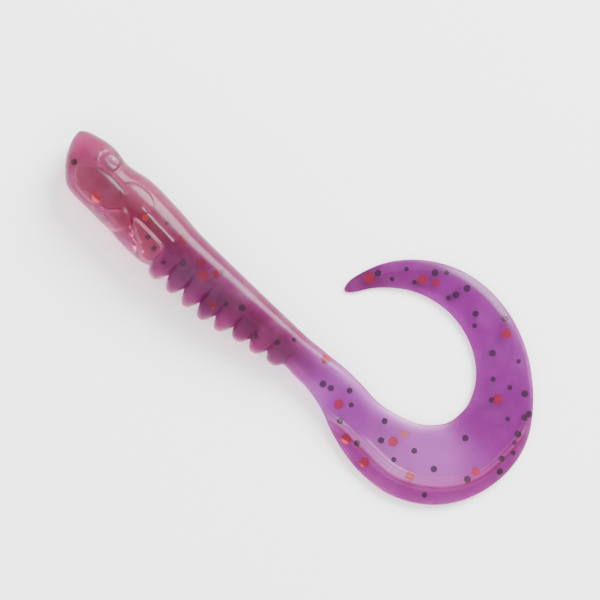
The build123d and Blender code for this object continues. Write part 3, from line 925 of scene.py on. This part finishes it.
class WORM_OT_flakes(bpy.types.Operator):
    """Cast the glitter flakes into the skin, one piece for each colour and length"""
    bl_idname = "worm.flakes"
    bl_label = "Glitter flakes"

    def execute(self, context):
        settings = context.scene.worm_flakes
        looks = {
            # the red and gold flakes get a painted glow
            "red": foil("flake_red", (0.42, 0.0, 0.02, 1.0), 0.0, 0.6, 0.3),
            "dark": foil("flake_dark", (0.008, 0.0, 0.006, 1.0), 0.0, 0.7),
            "gold": foil("flake_gold", (0.62, 0.30, 0.03, 1.0), 0.4, 0.35, 0.4),
        }
        group = flake_group()
        at, points = grid["at"], grid["points"]
        for colour, look in looks.items():
            station, offset = np.array(FLAKES[colour]).T
            x, y, heading = centreline(station)
            spots = np.stack((x - offset * np.sin(heading), y + offset * np.cos(heading),
                              np.zeros_like(x)), axis=1)
            for k, middle in enumerate(spots):
                ring = points[np.abs(at - station[k]).argmin()]
                upper = ring[ring[:, 2] > ring[:, 2].mean()]
                close = np.argsort(np.hypot(upper[:, 0] - middle[0], upper[:, 1] - middle[1]))[:3]
                middle[2] = upper[close, 2].mean() - settings.depth / MM
            size = settings.large if colour == "red" else settings.small
            for index in range(len(SPLITS) - 1):
                chosen = (station >= SPLITS[index]) & (station < SPLITS[index + 1])
                if not chosen.any():
                    continue
                obj = scatter(f"glitter_{colour}_{index + 1}", group, spots[chosen], {
                    "Across Flats": size, "Foil": settings.foil, "Tilt": settings.tilt,
                    "Seed": settings.seed + index, "Material": look})
                edge = [points[np.abs(at - SPLITS[index + k]).argmin()] for k in (0, 1)]
                bend_with(obj, index, *edge)
            for name in cad_nodes([f"flakes_{colour}_"]):
                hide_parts(name)
        return {"FINISHED"}


class WORM_OT_stage(bpy.types.Operator):
    """Set out the floor, the lights and the camera"""
    bl_idname = "worm.stage"
    bl_label = "Stage"

    def execute(self, context):
        settings = context.scene.worm_stage
        right = Vector((math.cos(settings.roll), math.sin(settings.roll), 0.0))
        up = UP.cross(right)
        centre = right * AIM_RIGHT + up * AIM_UP

        mesh = bpy.data.meshes.new("floor")
        corners = [(x * FLOOR_HALF, y * FLOOR_HALF, -FLOOR_DROP)
                   for x, y in ((-1, -1), (1, -1), (1, 1), (-1, 1))]
        mesh.from_pydata(corners, [], [(0, 1, 2, 3)])
        made, tree, shader = material("paper")
        place = tree.nodes.new("ShaderNodeTexCoord")
        grain = noise_node(tree, place.outputs["Object"], 900.0, 4.0)
        colour = mix_node(tree, grain, (0.94, 0.94, 0.94, 1.0), (0.97, 0.97, 0.97, 1.0))
        tree.links.new(colour, shader.inputs["Base Color"])
        shader.inputs["Roughness"].default_value = 0.9
        mesh.materials.append(made)
        floor = new_object("floor", mesh)

        sun = bpy.data.lights.new("key", "AREA")
        sun.shape = "DISK"
        sun.size = KEY_SIZE
        sun.energy = settings.key_power
        key = bpy.data.objects.new("key", sun)
        context.scene.collection.objects.link(key)
        away = centre + right * KEY_RIGHT + up * KEY_UP + UP * KEY_HEIGHT
        key.matrix_world = Matrix.Translation(away) @ \
            (away - centre).to_track_quat("Z", "Y").to_matrix().to_4x4()

        world = bpy.data.worlds.new("studio")
        world.use_nodes = True
        background = world.node_tree.nodes["Background"]
        background.inputs["Color"].default_value = (1.0, 1.0, 1.0, 1.0)
        background.inputs["Strength"].default_value = settings.sky
        context.scene.world = world

        data = bpy.data.cameras.new("camera")
        data.sensor_width = 36.0
        data.lens = data.sensor_width * settings.distance / settings.picture_width
        data.clip_start = 0.01
        camera = bpy.data.objects.new("camera", data)
        context.scene.collection.objects.link(camera)
        turn = Matrix((right, up, UP)).transposed().to_4x4()
        camera.matrix_world = Matrix.Translation(centre + UP * settings.distance) @ turn
        context.scene.camera = camera
        return {"FINISHED"}


class WORM_PT_panel(bpy.types.Panel):
    """Settings and steps of the worm"""
    bl_idname = "WORM_PT_panel"
    bl_label = "Soft worm"
    bl_space_type = "VIEW_3D"
    bl_region_type = "UI"
    bl_category = "Worm"

    def draw(self, context):
        scene = context.scene
        for settings in (scene.worm_skin, scene.worm_flakes, scene.worm_stage):
            box = self.layout.box()
            for name in settings.__annotations__:
                box.prop(settings, name)
        for step in STEPS:
            self.layout.operator(step)


STEPS = ("worm.skin", "worm.eyes", "worm.flakes", "worm.stage")
CLASSES = (WormSkinSettings, WormFlakeSettings, WormStageSettings, WORM_OT_skin, WORM_OT_eyes,
           WORM_OT_flakes, WORM_OT_stage, WORM_PT_panel)


def register():
    for each in CLASSES:
        bpy.utils.register_class(each)
    bpy.types.Scene.worm_skin = bpy.props.PointerProperty(type=WormSkinSettings)
    bpy.types.Scene.worm_flakes = bpy.props.PointerProperty(type=WormFlakeSettings)
    bpy.types.Scene.worm_stage = bpy.props.PointerProperty(type=WormStageSettings)


def unregister():
    del bpy.types.Scene.worm_skin
    del bpy.types.Scene.worm_flakes
    del bpy.types.Scene.worm_stage
    for each in reversed(CLASSES):
        bpy.utils.unregister_class(each)


def main():
    register()
    for result in (bpy.ops.worm.skin(), bpy.ops.worm.eyes(), bpy.ops.worm.flakes(),
                   bpy.ops.worm.stage()):
        if result != {"FINISHED"}:
            raise RuntimeError("a step did not finish")


if __name__ == "__main__":
    main()
